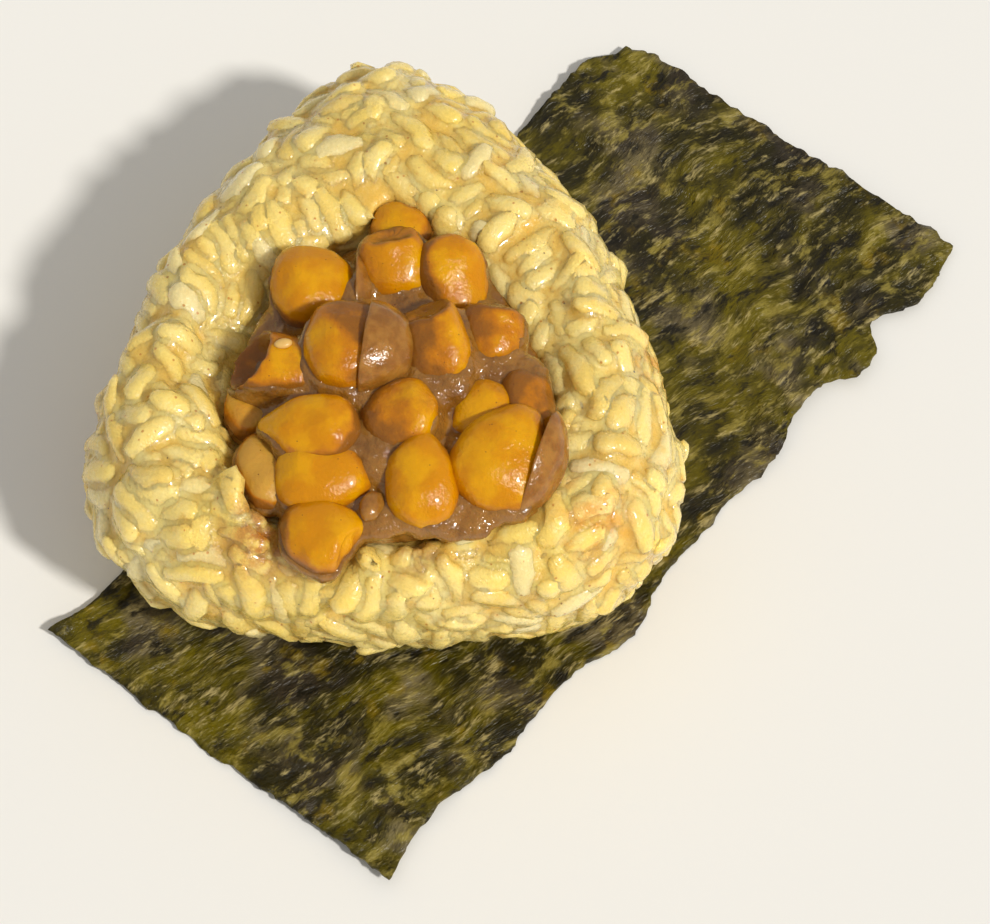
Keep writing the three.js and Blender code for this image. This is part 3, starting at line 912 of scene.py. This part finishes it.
def nori_strip():
    """A fine grid drawn into the strip's outline, crinkled and given its thickness."""
    bpy.ops.object.select_all(action="DESELECT")
    bpy.ops.mesh.primitive_grid_add(x_subdivisions=NORI_STEPS, y_subdivisions=NORI_ROWS, size=1)
    strip = added("nori_strip")
    bpy.ops.object.mode_set(mode="EDIT")
    bpy.ops.mesh.select_all(action="SELECT")
    bpy.ops.transform.resize(value=(NORI_LENGTH + 0.6 * MM, NORI_WIDTH + 0.4 * MM, 1))
    done(strip)
    half = NORI_LENGTH / 2
    edge = NORI_WIDTH / 2
    for along, reach, size in RIGHT_EDGE:
        pick(strip, lambda place: place.y < -edge * 0.99 and abs(place.x - along * MM) < 1.2 * MM)
        push((0, -size * MM, 0), reach * MM)
    # the left edge draws in near one end, and its corner at the other end is rounded off
    pick(strip, lambda place: place.y > edge * 0.99 and abs(place.x + 44 * MM) < 2 * MM)
    push((0, -1.8 * MM, 0), 11 * MM)
    pick(strip, lambda place: place.y > edge * 0.98 and place.x > half * 0.985)
    push((-0.8 * MM, -2.4 * MM, 0), 5 * MM)
    bpy.ops.object.mode_set(mode="OBJECT")
    strip.data.transform(Matrix.Rotation(NORI_HEADING, 4, "Z"))
    crinkle(strip)
    modify(strip, "SOLIDIFY", thickness=NORI_THICKNESS, offset=1.0)
    return smooth_shaded(strip)


def uneven(place, scale, seed):
    """Noise of about -1 to 1 at a place, with features of that size."""
    return noise.fractal(place / scale + Vector((seed, seed * 0.7, 0)), 0.7, 2.0, 3)


def crinkle(strip):
    """Ragged edges, and low swells with a fine crinkle outside the rice."""
    low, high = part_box("rice")
    middle = (low + high) / 2
    span = (high - low) / 2
    along = Vector((math.cos(NORI_HEADING), math.sin(NORI_HEADING), 0))
    across = Vector((-along.y, along.x, 0))
    for vertex in strip.data.vertices:
        place = vertex.co.copy()
        u = place.dot(along)
        v = place.dot(across)
        away = math.hypot((place.x - middle.x) / span.x, (place.y - middle.y) / span.y)
        outside = min(max((away - 0.88) / 0.5, 0.0), 1.0) ** 2
        swell = 0.5 + 0.25 * math.sin(u / (6.5 * MM) + v / (11 * MM))
        swell += 0.25 * math.sin(v / (7 * MM) - u / (17 * MM) + 1)
        relief = swell + 0.55 * uneven(place, 3.2 * MM, 3.1) + 0.2 * uneven(place, 1.1 * MM, 8.4)
        vertex.co.z += max(outside * (relief + 0.3), 0.0) * MM
        near_side = max(abs(v) / (NORI_WIDTH / 2) - 0.88, 0.0) / 0.12
        near_end = max(abs(u) / (NORI_LENGTH / 2) - 0.95, 0.0) / 0.05
        rag = 0.5 * uneven(place, 4.5 * MM, 1.7) + 0.18 * uneven(place, 1.3 * MM, 5.2)
        vertex.co += across * math.copysign(rag * near_side * MM, v)
        vertex.co += along * math.copysign(rag * near_end * MM, u)
    strip.data.update()


# Setting: floor, light and camera


def stage_floor():
    bpy.ops.object.select_all(action="DESELECT")
    bpy.ops.mesh.primitive_plane_add(size=FLOOR_SIZE, location=(0, 0, -FLOOR_DROP))
    floor = added("floor")
    floor.data.materials.append(floor_finish())


def light_scene():
    key = bpy.data.lights.new("key", "SUN")
    key.energy = KEY_STRENGTH
    key.angle = math.radians(KEY_SOFTNESS)
    key.color = KEY_COLOUR
    lamp = bpy.data.objects.new("key", key)
    lamp.rotation_euler = KEY_DIRECTION.to_track_quat("Z", "Y").to_euler()
    bpy.context.scene.collection.objects.link(lamp)
    world = bpy.data.worlds.new("studio")
    world.use_nodes = True
    sky = world.node_tree.nodes["Background"].inputs
    sky["Color"].default_value = SKY_COLOUR
    sky["Strength"].default_value = SKY_STRENGTH
    bpy.context.scene.world = world


def aim_camera():
    lens = bpy.data.cameras.new("camera")
    lens.lens = CAMERA_LENS
    lens.sensor_width = SENSOR_WIDTH
    lens.clip_end = 10
    camera = bpy.data.objects.new("camera", lens)
    rise = math.radians(CAMERA_ELEVATION)
    back = Vector((0, -math.cos(rise), math.sin(rise)))
    camera.location = CAMERA_TARGET + back * CAMERA_DISTANCE
    camera.rotation_euler = (math.radians(90 - CAMERA_ELEVATION), 0, 0)
    bpy.context.scene.collection.objects.link(camera)
    bpy.context.scene.camera = camera
    bpy.context.scene.view_settings.view_transform = "Standard"


def dress(piece, material, slot, *nodes):
    """Gives a finished piece its material, hangs it on the root body and hides the imported solids that
    it replaces; slot is not used.
    """
    piece.data.materials.clear()
    piece.data.materials.append(material)
    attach(piece, "root")
    if nodes:
        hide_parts(*nodes)


# The whole thing

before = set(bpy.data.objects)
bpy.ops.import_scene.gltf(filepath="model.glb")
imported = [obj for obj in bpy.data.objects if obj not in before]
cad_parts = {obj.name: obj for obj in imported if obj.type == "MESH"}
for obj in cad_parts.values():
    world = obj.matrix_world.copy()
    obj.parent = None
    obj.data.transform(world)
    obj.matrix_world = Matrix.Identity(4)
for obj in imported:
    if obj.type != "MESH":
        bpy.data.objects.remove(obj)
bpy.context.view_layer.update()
sauce_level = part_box("sauce")[1].z - SAUCE_BELOW_TOP

aim_camera()
light_scene()
stage_floor()

rice = rice_finish()
mould = rice_mould()
grains = rice_grains(mould, grain_forms())
dress(rice_binder(mould, grains), rice, "rice", "rice")
dress(grains, rice, "rice", "rice")

corn = corn_finish()
kernels = [corn_kernel(node, shape) for node, shape in KERNELS.items()]
for kernel, node in zip(kernels, KERNELS):
    dress(kernel, corn, "corn", node)

pool = sauce_pool(kernels)
dress(pool, sauce_finish(), "sauce", "sauce")
thin_skin = skin_finish()
for name, shape in SKINS.items():
    dress(skin(name, *shape), thin_skin, "corn")
filling = kernels + [pool]
scrap_top = top_at(filling, -15.1, -24.7)
dress(crumb("scrap", (-15.1, -24.7, scrap_top + 0.4), (2.6, 3.8, 1.8), -20, 0.7), thin_skin, "corn")
seed_top = top_at(filling, -24.9, -6.5)
dress(crumb("seed", (-24.9, -6.5, seed_top + 0.25), (2.0, 1.2, 0.8), 10, 0.1), seed_finish(), "sauce")
dress(nori_strip(), nori_finish(), "nori", "nori")
